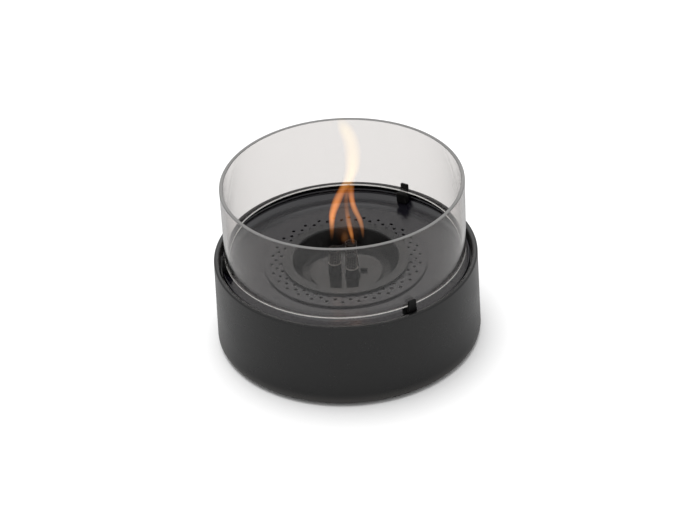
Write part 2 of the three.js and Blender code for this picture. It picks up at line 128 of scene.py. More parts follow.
def rounded(corners, closed=True):
    """Turns corners (r, z, radius) into an outline. With h half the angle at a
    corner, its arc starts and ends radius / tan(h) along the two sides, about
    a centre radius / sin(h) from the corner on the line that halves them."""
    corners = np.array(corners, float)
    p, radius = corners[:, :2], corners[:, 2:]
    to_last, to_next = np.roll(p, 1, axis=0) - p, np.roll(p, -1, axis=0) - p
    side = np.linalg.norm(to_next, axis=1, keepdims=True)
    a = to_last / np.linalg.norm(to_last, axis=1, keepdims=True)
    b = to_next / side
    half = np.arccos(np.clip((a * b).sum(axis=1, keepdims=True), -1, 1)) / 2
    reach = radius / np.tan(half)
    middle = (a + b) / np.linalg.norm(a + b, axis=1, keepdims=True)
    centre = p + middle * radius / np.sin(half)
    free = side - reach - np.roll(reach, -1, axis=0)
    after = np.minimum(GUARD * radius, HALF_FREE * free)
    before = np.minimum(GUARD * radius, HALF_FREE * np.roll(free, 1, axis=0))
    start, end = p + a * reach, p + b * reach
    sweep = (np.pi - 2 * half)[:, None]
    s = ARC[None, :, None]
    from_start, from_end = np.sin((1 - s) * sweep), np.sin(s * sweep)
    spokes = (start - centre)[:, None] * from_start + (end - centre)[:, None] * from_end
    arcs = centre[:, None] + spokes / np.sin(sweep)
    outline = np.concatenate(
        [(start + a * before)[:, None], arcs, (end + b * after)[:, None]], axis=1
    )
    if closed:
        return outline.reshape(-1, 2)
    return np.concatenate([p[:1], outline[1:-1].reshape(-1, 2), p[-1:]])


def turned(profile, turns=192, centre=(0.0, 0.0), start=0.0, closed=True):
    """A profile (r, z) carried round a vertical axis: the point at angle v is
    (cx + r cos v, cy + r sin v, z). Listed anticlockwise, it faces outwards."""
    v = np.radians(start) + 2 * np.pi * np.arange(turns) / turns
    r, z = profile[:, :1], profile[:, 1:]
    x = centre[0] + r * np.cos(v)
    y = centre[1] + r * np.sin(v)
    return skin(np.stack([x, y, z + 0 * v], axis=-1), wrap_u=closed)


# %% [markdown]
# ## Sheets with holes
# The vent ring is a laser-cut or punched sheet. A boolean would leave long
# thin triangles round every hole. Here the sheet is divided into cells with
# one hole each, and the cell's outline moves straight towards the hole's
# centre, turns down over a soft edge and comes back underneath. Cells that
# share a side share its points, so the sheet is closed after welding.

# %% Pierced cells
BEND = np.linspace(0.0, np.pi / 2, 4)


def pierced(outline, centre, hole, low, high, edge, steps=4):
    """Cells [cell, n, 2] with a round hole each. A point of the outline at
    distance d from the hole's centre keeps its direction while d falls evenly
    to hole + edge; then r = hole + edge (1 - sin t), z = high - edge (1 - cos t)
    rounds the edge, and the same in mirror image makes the underside."""
    away = outline - centre[:, None]
    distance = np.linalg.norm(away, axis=-1)
    share = np.linspace(0.0, 1.0, steps + 1)[:, None, None]
    flat = distance + (hole + edge - distance) * share
    bend = (hole + edge * (1 - np.sin(BEND[1:])))[:, None, None] + 0 * distance
    reach = np.concatenate([flat, bend])
    height = np.concatenate([np.full(steps + 1, high), high - edge * (1 - np.cos(BEND[1:]))])
    reach = np.concatenate([reach, reach[::-1]])
    height = np.concatenate([height, low + high - height[::-1]])
    xy = centre[:, None] + (away / distance[..., None]) * reach[..., None]
    z = np.broadcast_to(height[:, None, None, None], xy.shape[:-1] + (1,))
    return skin(np.moveaxis(np.concatenate([xy, z], axis=-1), 0, 1))


def on_circle(radius, degrees):
    """Points (radius cos a, radius sin a)."""
    a = np.radians(degrees)
    return np.stack([radius * np.cos(a), radius * np.sin(a)], axis=-1)


def sector(middle, width, inner, outer, around, along):
    """Outlines of the pieces of a ring between two radii, width degrees wide
    about each middle angle, run anticlockwise: out along the outer arc, in,
    back along the inner arc and out again."""
    middle = np.atleast_1d(middle).astype(float)[:, None]
    arc = np.linspace(-0.5, 0.5, around + 1)[:-1] * width
    side = np.linspace(0.0, 1.0, along + 1)[:-1] * (outer - inner)
    half = width / 2
    sides = (
        on_circle(outer, middle + arc),
        on_circle(outer - side, middle + half),
        on_circle(inner, middle - arc),
        on_circle(inner + side, middle - half),
    )
    return np.concatenate([s + 0 * middle[..., None] for s in sides], axis=1)


# %% [markdown]
# ## A colour helper and a node helper
# Colours are read off as sRGB hex values, and light adds up in linear values,
# so one function changes the one into the other. One more function adds a
# shader node with its settings and links; every material below uses it.

# %% Material helpers
def linear(hex_colour):
    """sRGB to linear: c / 12.92 up to 0.04045, else ((c + 0.055) / 1.055)^2.4."""
    c = np.array([int(hex_colour[i : i + 2], 16) for i in (0, 2, 4)]) / 255
    value = np.where(c <= 0.04045, c / 12.92, ((c + 0.055) / 1.055) ** 2.4)
    return (*value.tolist(), 1.0)


def add(tree, kind, inputs=None, **settings):
    """Adds a node. inputs gives each socket a value or another node's output."""
    node = tree.nodes.new(kind)
    for name, value in settings.items():
        setattr(node, name, value)
    for name, value in (inputs or {}).items():
        if isinstance(value, bpy.types.NodeSocket):
            tree.links.new(value, node.inputs[name])
        else:
            node.inputs[name].default_value = value
    return node


def material(name):
    """An empty material: its node tree, its Principled shader and the place
    that patterns are read at, in the object's own metres."""
    made = bpy.data.materials.new(name)
    made.use_nodes = True
    tree = made.node_tree
    shader = tree.nodes["Principled BSDF"]
    place = add(tree, "ShaderNodeTexCoord").outputs["Object"]
    return made, tree, shader, place


def per_mm(size):
    """A noise scale, in waves per metre, for grains of this many mm."""
    return 1.0 / (size * MM)


# %% [markdown]
# ## Satin black glaze
# The pot is slip-cast or pressed clay with a black satin glaze, fired on. The
# eye sees a deep black that turns to soft light grey at grazing angles, with
# no grain: the gloss is broken only by a slow unevenness in the glaze. Over
# the rounded foot the colour is painted paler: painted light, where the foot
# catches the light of the floor.

# %% Glaze
# Heights above the table over which the foot's painted light fades out.
FOOT_LIGHT_LOW, FOOT_LIGHT_HIGH = 2, 11  # mm above the table
GLAZE_ROUGHNESS = (0.24, 0.32)
glaze, tree, shader, place = material("satin_black_glaze")
shader.inputs["IOR"].default_value = 1.5
shader.inputs["Specular IOR Level"].default_value = 0.65
height = add(tree, "ShaderNodeSeparateXYZ", {"Vector": place}).outputs["Z"]
foot_light_share = add(
    tree,
    "ShaderNodeMapRange",
    {"Value": height, "From Min": FOOT_LIGHT_LOW * MM, "From Max": FOOT_LIGHT_HIGH * MM},
    interpolation_type="SMOOTHSTEP",
)
# Painted light: the rounded foot gets a paler colour that fades out upwards.
foot_light_ramp = add(tree, "ShaderNodeValToRGB", {"Fac": foot_light_share.outputs[0]})
foot_light_ramp.color_ramp.elements[0].color = linear("4A4846")
foot_light_ramp.color_ramp.elements[1].color = linear("0D0D0D")
tree.links.new(foot_light_ramp.outputs["Color"], shader.inputs["Base Color"])
drift = add(tree, "ShaderNodeTexNoise", {"Vector": place, "Scale": per_mm(28), "Detail": 2.0})
spread = add(
    tree,
    "ShaderNodeMapRange",
    {
        "Value": drift.outputs[0],
        "From Min": 0.3,
        "From Max": 0.7,
        "To Min": GLAZE_ROUGHNESS[0],
        "To Max": GLAZE_ROUGHNESS[1],
    },
)
tree.links.new(spread.outputs[0], shader.inputs["Roughness"])
pool = add(tree, "ShaderNodeTexNoise", {"Vector": place, "Scale": per_mm(9), "Detail": 1.0})
bump = add(tree, "ShaderNodeBump", {"Height": pool.outputs[0], "Strength": 0.03, "Distance": 0.0002})
tree.links.new(bump.outputs[0], shader.inputs["Normal"])
print("glaze: IOR 1.5, roughness", GLAZE_ROUGHNESS)

# %% [markdown]
# ## Baked powder coat
# Dish, vent ring and cup are steel sheet with a nearly black powder coat, which
# melts to a glossy skin with a fine orange-peel grain. The real grain is about
# 0.5 mm wide; it is drawn up to three times as coarse, because finer grain
# would be lost in the render. It breaks up reflections, so the sheet looks
# dark, even and slightly soft. The wick plate is smoother and glossier.

# %% Powder coats
def powder_coat(name, colour, roughness, grain, depth):
    """A coat with an orange-peel grain of this width and depth in mm."""
    made, tree, shader, place = material(name)
    shader.inputs["Base Color"].default_value = linear(colour)
    shader.inputs["Roughness"].default_value = roughness
    shader.inputs["IOR"].default_value = 1.5
    peel = add(tree, "ShaderNodeTexNoise", {"Vector": place, "Scale": per_mm(grain), "Detail": 3.0})
    bump = add(
        tree,
        "ShaderNodeBump",
        {"Height": peel.outputs[0], "Strength": 0.35, "Distance": depth * MM},
    )
    tree.links.new(bump.outputs[0], shader.inputs["Normal"])
    print(f"{name}: roughness {roughness}, grain {grain} mm")
    return made


dish_coat = powder_coat("powder_coated_steel_dish", "0D0C12", 0.21, 0.9, 0.002)
ring_coat = powder_coat("powder_coated_steel_ring", "0D0C12", 0.22, 0.7, 0.002)
cup_coat = powder_coat("coated_steel_cup_painted_shade", "0C0C0C", 0.25, 1.6, 0.002)
plate_coat = powder_coat("glossy_coated_steel_plate", "060606", 0.05, 9.0, 0.001)

# %% [markdown]
# ## Steel that has met the flame
# The tank is plain zinc-coated sheet, with the faint flat crystals of zinc.
# The tubes are blackened steel. The caps are woven from stainless wire,
# silvery at the foot, where a painted highlight makes the bead paler still,
# dull grey above it and sooty round the mouth. The cup is painted darker
# inside and paler on top of its flange: painted shade in the hollow and
# painted light on the flange. Such colours follow the height of the piece,
# so they are read from the Object height.

# %% Steels
zinc_sheet, tree, shader, place = material("zinc_coated_sheet")
shader.inputs["Metallic"].default_value = 1.0
spangle = add(tree, "ShaderNodeTexVoronoi", {"Vector": place, "Scale": per_mm(7)})
tone = add(
    tree,
    "ShaderNodeMapRange",
    {"Value": spangle.outputs["Color"], "To Min": 0.28, "To Max": 0.42},
)
tree.links.new(tone.outputs[0], shader.inputs["Roughness"])
shader.inputs["Base Color"].default_value = linear("A9AAA8")

black_steel, tree, shader, place = material("blackened_steel")
shader.inputs["Base Color"].default_value = linear("050505")
shader.inputs["Roughness"].default_value = 0.6
shader.inputs["Specular IOR Level"].default_value = 0.08


def by_height(tree, place, stops):
    """A colour ramp over height: stops are (height in mm, sRGB hex)."""
    z = add(tree, "ShaderNodeSeparateXYZ", {"Vector": place}).outputs["Z"]
    low, high = stops[0][0], stops[-1][0]
    share = add(
        tree, "ShaderNodeMapRange", {"Value": z, "From Min": low * MM, "From Max": high * MM}
    )
    ramp = add(tree, "ShaderNodeValToRGB", {"Fac": share.outputs[0]})
    points = ramp.color_ramp.elements
    points[0].color, points[-1].color = linear(stops[0][1]), linear(stops[-1][1])
    for height, colour in stops[1:-1]:
        points.new((height - low) / (high - low)).color = linear(colour)
    return ramp.outputs["Color"]


# On the cup, colour by height takes the place of the coat's one colour:
# painted shade inside the cup, painted light on top of the flange.
CUP_FLOOR, CUP_TOP = 52.0, 65.3
cup_tree = cup_coat.node_tree
cup_shader = cup_tree.nodes["Principled BSDF"]
cup_place = add(cup_tree, "ShaderNodeTexCoord").outputs["Object"]
cup_painted_shade = by_height(
    cup_tree,
    cup_place,
    [(CUP_FLOOR, "020202"), (CUP_TOP - 1.8, "040404"), (CUP_TOP, "232323")],
)
cup_tree.links.new(cup_painted_shade, cup_shader.inputs["Base Color"])
cup_shader.inputs["Specular IOR Level"].default_value = 0.3

CAP_FOOT, CAP_TOP = 60.8, 72.7
wire, tree, shader, place = material("stainless_wire_heat_tint_and_painted_glint")
shader.inputs["Metallic"].default_value = 1.0
shader.inputs["Roughness"].default_value = 0.33
# Pale at the foot, partly as a painted highlight of the bead's bright glint; darker towards the
# mouth, where heat has tinted the wire.
wire_tint_and_glint = by_height(
    tree,
    place,
    [
        (CAP_FOOT, "D8D6D2"),
        (CAP_FOOT + 0.9, "C4C0BC"),
        (CAP_FOOT + 1.6, "9A9692"),
        (CAP_TOP - 3, "8A8682"),
        (CAP_TOP - 0.8, "4A4642"),
        (CAP_TOP, "3C3834"),
    ],
)
tree.links.new(wire_tint_and_glint, shader.inputs["Base Color"])
print("steels: zinc sheet, blackened steel, stainless wire")

# %% [markdown]
# ## Wick fibre and rubber
# The wicks are bundles of mineral fibre, off-white and matt, and charred black
# over the top ten millimetres. The clips and pads are moulded black rubber:
# matt, with hardly any highlight.

# %% Fibre and rubber
WICK_TOP = 71.7
CHARRED, SINGED = 10, 14  # mm below the top of the wick
fibre, tree, shader, place = material("mineral_fibre_wick")
shader.inputs["Roughness"].default_value = 0.95
char = by_height(
    tree,
    place,
    [(WICK_TOP - SINGED, "5B554C"), (WICK_TOP - CHARRED, "181614"), (WICK_TOP, "090808")],
)
tree.links.new(char, shader.inputs["Base Color"])
hair = add(tree, "ShaderNodeTexNoise", {"Vector": place, "Scale": per_mm(0.5), "Detail": 4.0})
bump = add(tree, "ShaderNodeBump", {"Height": hair.outputs[0], "Strength": 0.6, "Distance": 0.0002})
tree.links.new(bump.outputs[0], shader.inputs["Normal"])

rubber, tree, shader, place = material("moulded_black_rubber")
shader.inputs["Base Color"].default_value = linear("0C0C0C")
shader.inputs["Roughness"].default_value = 0.6
shader.inputs["IOR"].default_value = 1.52
shader.inputs["Specular IOR Level"].default_value = 0.3
skin_grain = add(tree, "ShaderNodeTexNoise", {"Vector": place, "Scale": per_mm(0.6)})
bump = add(
    tree, "ShaderNodeBump", {"Height": skin_grain.outputs[0], "Strength": 0.3, "Distance": 0.00003}
)
tree.links.new(bump.outputs[0], shader.inputs["Normal"])
print("fibre charred over", CHARRED, "mm; rubber roughness 0.6")

# %% [markdown]
# ## Clear glass
# A drawn soda-lime tube, cut to length. It is clear with a trace of grey, shows
# a veil of the bright room on its near wall and dark lines where one looks
# along it. Lamps shine through it as through air, so that what stands inside
# is lit. Its edges are ground, which gives them a fine matt skin: a polished
# edge would only lead the eye along inside the wall and look black. The upper
# edge is painted a mid grey, darker than the same ground glass at the foot:
# painted shade. The lower one is a fine white line, because the light that
# runs down inside the wall comes out there, above and below.

# %% Glass
GLASS_FOOT, GLASS_TOP = 72.2, 132.0
clear_glass, tree, shader, place = material("clear_soda_lime_glass")
shader.inputs["Base Color"].default_value = linear("EEEBE9")
shader.inputs["Roughness"].default_value = 0.0
shader.inputs["IOR"].default_value = 1.5
shader.inputs["Transmission Weight"].default_value = 1.0
through = add(tree, "ShaderNodeBsdfTransparent", {"Color": linear("E9E8E7")})
path = add(tree, "ShaderNodeLightPath")
mix = add(
    tree,
    "ShaderNodeMixShader",
    {0: path.outputs["Is Shadow Ray"], 1: shader.outputs[0], 2: through.outputs[0]},
)
tree.links.new(mix.outputs[0], tree.nodes["Material Output"].inputs["Surface"])

ground_top_painted_shade, tree, shader, place = material("ground_glass_top_painted_shade")
# Painted shade: this ground glass is given a darker grey than at the foot.
shader.inputs["Base Color"].default_value = linear("848382")
shader.inputs["Roughness"].default_value = 0.4
shader.inputs["IOR"].default_value = 1.5
shader.inputs["Transmission Weight"].default_value = 0.3

ground_foot, tree, shader, place = material("ground_glass_foot")
shader.inputs["Base Color"].default_value = linear("CFCFCD")
shader.inputs["Roughness"].default_value = 0.4
shader.inputs["IOR"].default_value = 1.5
inside = add(tree, "ShaderNodeBsdfTranslucent", {"Color": linear("D2D2D0")})
lit_edge = add(tree, "ShaderNodeAddShader", {0: shader.outputs[0], 1: inside.outputs[0]})
tree.links.new(lit_edge.outputs[0], tree.nodes["Material Output"].inputs["Surface"])
print("glass: IOR 1.5, clear walls and ground edges")

# %% [markdown]
# ## The pot
# A cast pot with a rounded foot and a soft rim; a ledge inside carries the
# dish. All of it is round, so one profile turned about the axis makes it. Four
# small rubber pads keep it off the table.

# %% Pot and foot pads
pot_profile = rounded(
    [
        (0, 1.5, 0),
        (100, 1.5, 4),
        (98.6, 70, 1.6),
        (94.5, 70, 1.6),
        (94.5, 60, 0.4),
        (88, 60, 0.6),
        (88, 57, 0.6),
        (94.5, 53.1, 1.5),
        (95.9, 5.5, 3),
        (0, 5.5, 0),
    ],
    closed=False,
)
piece("pot_shell", [turned(pot_profile, 256, closed=False)], glaze, "pot", ["outer_pot"])

PADS, PAD_CIRCLE = 4, 78
pad_profile = rounded([(0, 0, 0), (7, 0, 0.3), (7, 1.2, 0.3), (0, 1.2, 0)], closed=False)
for i in range(PADS):
    spot = on_circle(PAD_CIRCLE, 45 + 360 / PADS * i)
    grid = turned(pad_profile, 48, spot, closed=False)
    piece(f"pad_{i + 1}", [grid], rubber, "pot", [f"foot_pad_{i + 1}"])

# %% [markdown]
# ## The dish
# Spun from 1.5 mm sheet: a flat floor, a gentle slope up to a short wall with
# a rounded rim, and a skirt that stands on the pot's ledge. The bend between
# floor and slope has a large radius, which shows as a soft band of light.

# %% Dish
FLOOR_TO_SLOPE = 12  # radius of the bend seen from above
dish_profile = rounded(
    [
        (59.5, 60.5, 0.3),
        (79.3, 60.5, 16),
        (91.4, 62.85, 0.8),
        (91.4, 60.3, 0.3),
        (92.9, 60.3, 0.3),
        (92.9, 66.5, 0.78),
        (91.3, 66.5, 0.78),
        (91.3, 64.4, 0.5),
        (79, 62, FLOOR_TO_SLOPE),
        (59.5, 62, 0.3),
    ]
)
piece("dish_sheet", [turned(dish_profile, 256)], dish_coat, "dish", ["dish_tray"])

# %% [markdown]
# ## Rubber clips
# Each clip is a block under the glass with a tab outside it. A rounded box is
# the simplest soft solid: take a point on a box, pull it back into a smaller
# box, and push it out again by the radius. Three such boxes are joined into
# one moulded piece, and its foot is sheared to lie on the slope.

# %% Clips
LEVELS = np.radians(np.linspace(45, 0, 6))


def rounded_box(low, high, radius):
    """The six sides of a box as grids. A point q of the box moves to
    c + radius (q - c) / |q - c|, with c the nearest point of the inner box."""
    low, high = np.array(low, float), np.array(high, float)
    rise = radius * (1 - np.tan(LEVELS))
    grids = []
    for axis in range(3):
        a, b = (axis + 1) % 3, (axis + 2) % 3
        steps_a = np.concatenate([low[a] + rise, (high[a] - rise)[::-1]])
        steps_b = np.concatenate([low[b] + rise, (high[b] - rise)[::-1]])
        for end, order in ((high, 1), (low, -1)):
            q = np.empty((len(steps_b), len(steps_a), 3))
            q[..., axis] = end[axis]
            q[..., a], q[..., b] = steps_a[::order][None, :], steps_b[:, None]
            c = np.clip(q, low + radius, high - radius)
            out = q - c
            q = c + radius * out / np.linalg.norm(out, axis=-1, keepdims=True)
            grids.append(skin(q, wrap_v=False))
    return grids


def moved(grids, change):
    """The same grids with each point changed by a function of x, y, z."""
    return [(np.stack(change(*points.T), axis=-1), quads) for points, quads in grids]


def turn(degrees):
    """A turn about the vertical axis, as a change for moved()."""
    c, s = np.cos(np.radians(degrees)), np.sin(np.radians(degrees))
    return lambda x, y, z: (c * x - s * y, s * x + c * y, z)


def joined(name, solids):
    """One solid from several that overlap, with nothing left inside."""
    made = new_object(name, solids[0])
    for extra in solids[1:]:
        tool = new_object(name + "_tool", extra)
        join = made.modifiers.new("join", "BOOLEAN")
        join.operation, join.solver, join.object = "UNION", "EXACT", tool
        seen = made.evaluated_get(bpy.context.evaluated_depsgraph_get())
        mesh = bpy.data.meshes.new_from_object(seen)
        made.modifiers.clear()
        made.data = mesh
        bpy.data.objects.remove(tool)
    made.data.name = name
    return made


CLIP_ANGLES = (-60, 58, 187.5)  # pushed on by hand
SEAT = 71.9  # top of the block, which carries the glass
BLOCK_FOOT, BLOCK_SIDE = 62.7, 90.0  # its height before shearing, its outer radius
SLOPE, SLOPE_LIFT = 0.1947, 1.83  # the dish's rise per mm, and its lift at that radius


def onto_slope(x, y, z):
    """z + share (lift + slope (x - side)), where share is 0 at the seat and 1
    at the foot."""
    share = (SEAT - z) / (SEAT - BLOCK_FOOT)
    return x, y, z + share * (SLOPE_LIFT + SLOPE * (x - BLOCK_SIDE))


block = rounded_box((84.5, -4.25, BLOCK_FOOT), (BLOCK_SIDE, 4.25, SEAT), 0.8)
block = moved(block, onto_slope)
lug = rounded_box((87.5, -3.35, 66.8), (93.2, 3.35, SEAT), 0.5)
tab = rounded_box((90.6, -3.35, 66.8), (93.2, 3.35, 77.9), 1.1)
for i, angle in enumerate(CLIP_ANGLES):
    parts = [moved(part, turn(angle)) for part in (block, lug, tab)]
    clip = joined(f"clip_{i + 1}", parts)
    piece(f"clip_{i + 1}", clip, rubber, "dish", [f"glass_clip_{i + 1}"])

# %% [markdown]
# ## The vent ring
# Three rows of thirty 2.4 mm vents, the middle row turned by half a step. Each
# row is a band of thirty cells, and plain bands close the ring inside and
# outside, where the edges of the sheet are turned down to stand on the dish.
# All bands step every 1.5 degrees, so that their points meet.

# %% Vent ring
VENTS = 30
VENT_START = -94.0
PITCH = 3.35
FIRST_ROW = 49.1  # radius of the inner row
VENT_RADIUS, VENT_EDGE = 1.2, 0.15
CELL_STEPS = 8  # along each side of a cell
RING_FOOT, RING_LOW, RING_HIGH = 62.3, 62.9, 63.6
row_radius = FIRST_ROW + PITCH * np.arange(3)
step = 360 / VENTS
bands = []
for row, radius in enumerate(row_radius):
    angles = VENT_START + step * (np.arange(VENTS) + (row % 2) / 2)
    low, high = radius - PITCH / 2, radius + PITCH / 2
    cells = sector(angles, step, low, high, CELL_STEPS, CELL_STEPS)
    spots = on_circle(radius, angles)
    bands.append(pierced(cells, spots, VENT_RADIUS, RING_LOW, RING_HIGH, VENT_EDGE))
inside, outside = row_radius[0] - PITCH / 2, row_radius[-1] + PITCH / 2
inner_band = rounded(
    [
        (inside, RING_HIGH, 0),
        (45.5, RING_HIGH, 0.4),
        (45.5, RING_FOOT, 0.2),
        (46.2, RING_FOOT, 0.2),
        (46.2, RING_LOW, 0.1),
        (inside, RING_LOW, 0),
    ],
    closed=False,
)
outer_band = rounded(
    [
        (outside, RING_LOW, 0),
        (60.7, RING_LOW, 0.1),
        (60.7, RING_FOOT, 0.2),
        (61.4, RING_FOOT, 0.2),
        (61.4, RING_HIGH, 0.5),
        (outside, RING_HIGH, 0),
    ],
    closed=False,
)
for band in (inner_band, outer_band):
    bands.append(turned(band, VENTS * CELL_STEPS, start=VENT_START, closed=False))
piece("vent_sheet", bands, ring_coat, "ring", ["vent_ring"])

# %% [markdown]
# ## The burner cup and the tank
# The cup is a drawn part: a wide flange over the ring, a rounded lip and a
# tapered wall down to a floor with three holes for the wick tubes. The floor
# is three cells of 120 degrees. The tank under it is a plain open can.

# %% Cup and tank
WICK_ANGLES = np.array([-61.0, 59.0, 179.0])
WICK_SPOTS = on_circle(8.4, WICK_ANGLES)
SECTOR_STEPS = 64


def three_holes(radius, hole, low, high, edge):
    """The middle of a disc, in three cells of 120 degrees with a hole each."""
    cells = sector(WICK_ANGLES, 120, 0.0, radius, SECTOR_STEPS, 20)
    return pierced(cells, WICK_SPOTS, hole, low, high, edge)


def round_the_cells(profile):
    """The rest of that disc, turned so that its points meet the cells'."""
    return turned(profile, 3 * SECTOR_STEPS, start=WICK_ANGLES[0], closed=False)


cup_profile = rounded(
    [
        (28, 50.6, 0),
        (34.6, 50.6, 2.4),
        (41.6, 63.9, 1.2),
        (47.7, 63.9, 0.2),
        (47.7, CUP_TOP, 0.55),
        (40.0, CUP_TOP, 1.3),
        (33.4, CUP_FLOOR, 2.0),
        (28, CUP_FLOOR, 0),
    ],
    closed=False,
)
cup = [round_the_cells(cup_profile), three_holes(28, 5.3, 50.6, CUP_FLOOR, 0.3)]
piece("cup_sheet", cup, cup_coat, "burner", ["burner_cup"])

tank_profile = rounded(
    [(0, 5.8, 0), (44, 5.8, 3), (44, 55.9, 0.3), (43, 55.9, 0.3), (43, 6.8, 2), (0, 6.8, 0)],
    closed=False,
)
tank = [turned(tank_profile, closed=False)]
piece("tank_can", tank, zinc_sheet, "pot", ["fuel_tank"])

# %% [markdown]
# ## Wick plate, tubes and lift lug
# A glossy disc carries three tubes and a small square-cut lug to lift it by.
# The disc has the same three cells as the cup's floor, with holes for the tubes.

# %% Wick plate, lug and tubes
plate_rim = rounded(
    [(24, 52.3, 0), (27.3, 52.3, 0.3), (27.3, 53.3, 0.3), (24, 53.3, 0)], closed=False
)
plate = [round_the_cells(plate_rim), three_holes(24, 5.0, 52.3, 53.3, 0.2)]
piece("plate_disc", plate, plate_coat, "wicks", ["wick_plate"])

lug_box = moved(rounded_box((10.55, -1.1, 53.6), (15.85, 1.1, 55.2), 0.3), turn(-8))
piece("lug_bar", lug_box, black_steel, "wicks", ["lift_lug"])

tube_profile = rounded([(3.9, 44.6, 0.2), (4.7, 44.6, 0.2), (4.7, 60.5, 0.25), (3.9, 60.5, 0.25)])
for i, spot in enumerate(WICK_SPOTS):
    grid = turned(tube_profile, 64, spot)
    piece(f"tube_{i + 1}", [grid], black_steel, "wicks", [f"wick_tube_{i + 1}"])

# %% [markdown]
# ## Woven caps
# Each cap is a sleeve of plain-woven wire between a bead at its foot and a
# ring turned in at its mouth. In a plain weave every wire goes over one and
# under the next, so its distance from the axis is a cosine that changes sign
# from each wire to its neighbour.

# %% Caps
WIRE = 0.3  # thickness of the wire
WARPS, WEFTS = 20, 8  # upright wires and rings
SIDES = 2 * np.pi * np.arange(6) / 6


def woven_sleeve(spot, radius, low, high):
    """Upright wire k: r = radius + a cos(pi (row + k)). Ring j: r = radius -
    a cos(pi (column + j)). The round section is added along the spoke and
    along the other direction that is square to the wire."""
    sway = WIRE / 2
    row = np.linspace(-0.5, WEFTS - 0.5, 4 * WEFTS + 1)
    height = low + (high - low) * (row + 0.5) / WEFTS
    k = np.arange(WARPS)[:, None, None]
    thick = np.full(len(row) + 2, WIRE / 2)
    thick[[0, -1]] = 0.0
    row, height = (np.concatenate([q[:1], q, q[-1:]]) for q in (row, height))
    angle = 2 * np.pi * k / WARPS
    r = radius + sway * np.cos(np.pi * (row[:, None] + k)) + thick[:, None] * np.cos(SIDES)
    aside = thick[:, None] * np.sin(SIDES) + 0 * r
    x = r * np.cos(angle) - aside * np.sin(angle)
    y = r * np.sin(angle) + aside * np.cos(angle)
    z = height[:, None] + 0 * r
    upright = np.stack([x + spot[0], y + spot[1], z], axis=-1)

    column = np.arange(4 * WARPS) / 4
    j = np.arange(WEFTS)[:, None, None]
    angle = (2 * np.pi * column / WARPS)[:, None]
    r = radius - sway * np.cos(np.pi * (column[:, None] + j)) + WIRE / 2 * np.cos(SIDES)
    z = low + (high - low) * (j + 0.5) / WEFTS - WIRE / 2 * np.sin(SIDES) + 0 * r
    rings = np.stack([spot[0] + r * np.cos(angle), spot[1] + r * np.sin(angle), z], axis=-1)
    return [skin(upright), skin(rings, wrap_u=True)]


foot_bead = rounded([(4.1, 60.8, 0.25), (4.8, 60.8, 0.3), (4.8, 61.5, 0.3), (4.1, 61.5, 0.25)])
mouth_ring = rounded([(3.9, 72.2, 0.2), (4.5, 72.2, 0.22), (4.5, 72.7, 0.22), (3.9, 72.7, 0.2)])
for i, spot in enumerate(WICK_SPOTS):
    cap = woven_sleeve(spot, 4.25, 61.2, 72.4)
    cap += [turned(foot_bead, 64, spot), turned(mouth_ring, 64, spot)]
    piece(f"cap_{i + 1}", cap, wire, "wicks", [f"wick_cap_{i + 1}"])

# %% [markdown]
# ## Wicks
# A bundle of twisted fibre: a rod whose radius swells into sixteen strands
# that turn slowly with height, and whose top is ragged.

# %% Wicks
WICK_RADIUS, WICK_FOOT = 3.6, 9.8
SHOULDER = WICK_TOP - 0.8  # where the top starts to close
FLUTE, TWIST = 0.05, 0.03  # depth of the strands, and radians per mm
LEVELS_UP = 70


def fibre_rod(spot, seed):
    """r = R (1 - flute |sin(8 (v + twist z))|), closed by rings that shrink to
    the axis at both ends; the top also rises and falls with the strands."""
    v = 2 * np.pi * np.arange(96) / 96
    rod = np.linspace(WICK_FOOT + 0.4, SHOULDER, LEVELS_UP)
    tip = SHOULDER + np.array([0.35, 0.55, 0.6, 0.6])
    height = np.concatenate([[WICK_FOOT] * 2, rod, tip])
    shape = np.concatenate([[0.0, 0.9], np.ones(LEVELS_UP), [0.93, 0.8, 0.4, 0.0]])[:, None]
    strands = 1 - FLUTE * np.abs(np.sin(8 * (v + TWIST * height[:, None]) + seed))
    r = WICK_RADIUS * shape * strands
    ragged = np.clip((height[:, None] - WICK_TOP + 0.9) / 0.5, 0, 1)
    z = height[:, None] + 0.2 * ragged * shape * np.sin(5 * v + 3 * seed) * np.sin(8 * v + seed)
    return skin(np.stack([spot[0] + r * np.cos(v), spot[1] + r * np.sin(v), z], axis=-1))


for i, spot in enumerate(WICK_SPOTS):
    piece(f"fibre_{i + 1}", [fibre_rod(spot, i)], fibre, "wicks", [f"wick_{i + 1}"])

# %% [markdown]
# ## The glass cylinder
# A real wall with two sides and rounded edges, because a single skin would
# neither bend light nor show the bright and dark lines of its rim. The faces
# of its two edges carry the ground glass, the rest stays clear.

# %% Glass cylinder
GLASS_IN, GLASS_OUT, GLASS_EDGE = 87.5, 90.3, 0.6
glass_profile = rounded(
    [
        (GLASS_IN, GLASS_FOOT, GLASS_EDGE),
        (GLASS_OUT, GLASS_FOOT, GLASS_EDGE),
        (GLASS_OUT, GLASS_TOP, GLASS_EDGE),
        (GLASS_IN, GLASS_TOP, GLASS_EDGE),
    ]
)
tube = [turned(glass_profile, 256)]
glass_wall = piece("glass_wall", tube, clear_glass, "glass", ["glass_cylinder"])
glass_wall.data.materials.append(ground_top_painted_shade)
glass_wall.data.materials.append(ground_foot)
centres = np.empty(len(glass_wall.data.polygons) * 3)
glass_wall.data.polygons.foreach_get("center", centres)
height = centres.reshape(-1, 3)[:, 2] / MM
above, below = height > GLASS_TOP - 0.5, height < GLASS_FOOT + 0.3
finish = np.where(above, 1, np.where(below, 2, 0))
glass_wall.data.polygons.foreach_set("material_index", finish.astype(np.int32))
print("ground edges:", int((finish > 0).sum()), "faces")

